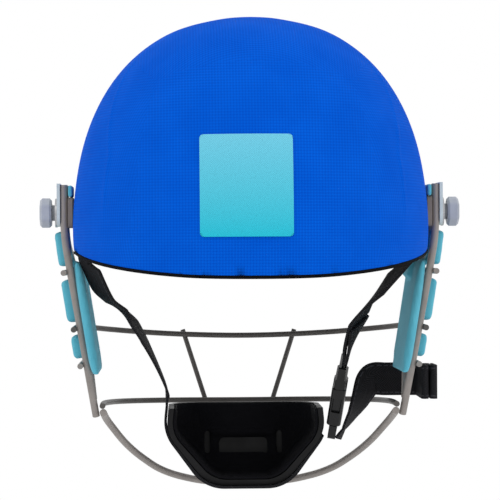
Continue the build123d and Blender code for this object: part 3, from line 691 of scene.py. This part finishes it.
route = {
    "anchorY": 18 * mm, "topZ": 23 * mm, "rivetZ": 3 * mm, "lowZ": -1.8 * mm,
    "cupEnd": Vector((49.05, -57, -94.65)) * mm, "lead": 10 * mm, "clipGap": 0.35 * mm,
    "buckleTop": Vector((-57.6, -41, -67)) * mm, "lean": (6 * mm, 16 * mm), "buckleLength": 47 * mm,
    "tailEnd": Vector((-83.98, -58.6, -79)) * mm, "tailLead": 6.67 * mm, "tailDrop": 4.8 * mm,
    "tailStep": 4 * mm,
}
drop = math.sqrt(route["buckleLength"] ** 2 - route["lean"][0] ** 2 - route["lean"][1] ** 2)
buckleEnd = route["buckleTop"] + Vector((route["lean"][0], -route["lean"][1], -drop))
buckleAxis = (route["buckleTop"] - buckleEnd).normalized()
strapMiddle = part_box("strap_left")[1].x - strap["thickness"] / 2


def strapTop(side):
    return [(Vector((side * strapMiddle, route["anchorY"], z)), (0, 1, 0))
            for z in (route["topZ"], route["rivetZ"], route["lowZ"])]


def leftStrap():
    top = strapTop(1)
    lead = route["cupEnd"] + Vector((0, 0, route["lead"]))
    spots = top + routeSpots(top[-1][0], lead, leftShares) + [(route["cupEnd"], (0, 1, 0))]
    piece = webbingPiece("chin_strap_left", spots, strap["cellsAlong"])
    dress(piece, finishes["webbing"], "webbing", "helmet", "strap_left")


fold = {"reach": 30 * mm, "lift": 1.3 * mm, "rest": 1.7 * mm, "steps": 6, "cells": 36, "ahead": 0.5 * mm}


def foldedEnd(spots):
    # the turned-back end of the webbing: a second layer on its outer side, up from the clip
    places, acrosses, marks = measured(spots)
    turned = []
    for k in range(fold["steps"] + 1):
        share = k / fold["steps"]
        distance = marks[-1] - fold["ahead"] - share * fold["reach"]
        place, across = routeAt(places, acrosses, marks, distance)
        along = routeAt(places, acrosses, marks, distance + fold["ahead"])[0] - place
        out = along.cross(across).normalized()
        if out.x > 0:
            out = -out
        turned.append((place + out * (fold["rest"] + fold["lift"] * math.sin(math.pi * share)), across))
    return webbingPiece("strap_fold", turned, fold["cells"])


def rightStrap():
    top = strapTop(-1)
    lead = route["buckleTop"] + buckleAxis * route["lead"]
    end = route["buckleTop"] + buckleAxis * route["clipGap"]
    spots = top + routeSpots(top[-1][0], lead, rightShares) + [(end, clipAcross)]
    turned = foldedEnd(spots)
    piece = webbingPiece("chin_strap_right", spots, strap["cellsAlong"])
    turned.select_set(True)
    bpy.ops.object.join()
    setFinish(piece, finishes["webbing"])
    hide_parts("strap_right")
    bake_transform(piece)


def spareTail():
    start = buckleEnd - buckleAxis * route["tailDrop"] - Vector((route["tailStep"], 0, 0))
    lead = route["tailEnd"] + Vector((route["tailLead"], 0, 0))
    spots = routeSpots(start, lead, tailShares) + [(route["tailEnd"], (0, 0, 1))]
    piece = webbingPiece("spare_webbing", spots, strap["cellsAlong"])
    setFinish(piece, finishes["webbing"])
    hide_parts("strap_tail")
    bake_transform(piece)


bundle = {"crossX": 84.0, "crossY": 58.6, "start": 103.4, "rear": 24.0, "front": 48.0, "pitch": 2.6,
          "layers": 4, "level": -79.0, "turn": 1.25, "cells": 260}


def foldedTail():
    flat = [(-bundle["crossX"], -bundle["crossY"]), (-bundle["start"], -bundle["crossY"]),
            (-bundle["start"], -bundle["rear"])]
    for number in range(1, bundle["layers"]):
        x = -bundle["start"] - bundle["pitch"] * number
        ends = [(x, -bundle["rear"]), (x, -bundle["front"])]
        flat += ends if number % 2 else ends[::-1]
    spots = []
    for k, (x, y) in enumerate(flat):
        here = Vector((x, y, bundle["level"])) * mm
        if 0 < k < len(flat) - 1:  # two places each side of a turn keep the runs straight
            for other in (flat[k - 1], flat[k + 1]):
                there = Vector((other[0], other[1], bundle["level"])) * mm
                spots.append((here + (there - here).normalized() * bundle["turn"] * mm, (0, 0, 1)))
        else:
            spots.append((here, (0, 0, 1)))
    piece = webbingPiece("folded_webbing", spots, bundle["cells"])
    dress(piece, finishes["webbing"], "webbing", "grille", "tail_bundle")


leftStrap()
rightStrap()
spareTail()
foldedTail()
print("webbing laid")


# floor, light and camera

studio = {
    "floorSize": 2.0, "floorLevel": -0.35, "worldStrength": 1.0,
    "keyPlace": (0.9, 1.4, 1.3), "keySize": 1.2, "keyPower": 5.0,
    "fillPlace": (-1.4, 0.9, 0.4), "fillSize": 1.4, "fillPower": 3.0,
}
view = {"distance": 1.25, "azimuth": 178.0, "lens": 154.8, "sensor": 36.0, "roll": -0.3}


def makeFloor():
    deselectAll()
    bpy.ops.mesh.primitive_plane_add(size=studio["floorSize"], location=(0, 0, studio["floorLevel"]))
    floor = bpy.context.object
    floor.name = "pale_floor"
    material, tree, shader = newFinish("paleFloor", 0.9, 0.1)
    shader.inputs["Base Color"].default_value = (0.86, 0.86, 0.86, 1)
    floor.data.materials.append(material)


def softLight(name, place, size, power):
    deselectAll()
    bpy.ops.object.light_add(type="AREA", location=place)
    lamp = bpy.context.object
    lamp.name = name
    lamp.data.size = size
    lamp.data.energy = power
    lamp.rotation_euler = (-Vector(place)).to_track_quat("-Z", "Y").to_euler()


def makeWorld():
    world = bpy.data.worlds.new("whiteStudio")
    world.use_nodes = True
    background = world.node_tree.nodes["Background"]
    background.inputs["Color"].default_value = (1, 1, 1, 1)
    background.inputs["Strength"].default_value = studio["worldStrength"]
    scene.world = world
    scene.view_settings.view_transform = "Standard"


def makeCamera():
    turn = math.radians(view["azimuth"])
    place = Vector((math.sin(turn), -math.cos(turn), 0)) * view["distance"]
    deselectAll()
    bpy.ops.object.camera_add(location=place)
    camera = bpy.context.object
    camera.name = "photo_camera"
    camera.data.lens = view["lens"]
    camera.data.sensor_width = view["sensor"]
    look = (-place).to_track_quat("-Z", "Y").to_matrix()
    roll = math.radians(view["roll"])
    camera.rotation_euler = (look.to_4x4() @ Matrix.Rotation(roll, 4, "Z")).to_euler()
    scene.camera = camera


makeFloor()
softLight("key_light", studio["keyPlace"], studio["keySize"], studio["keyPower"])
softLight("fill_light", studio["fillPlace"], studio["fillSize"], studio["fillPower"])
makeWorld()
makeCamera()
print("studio set")
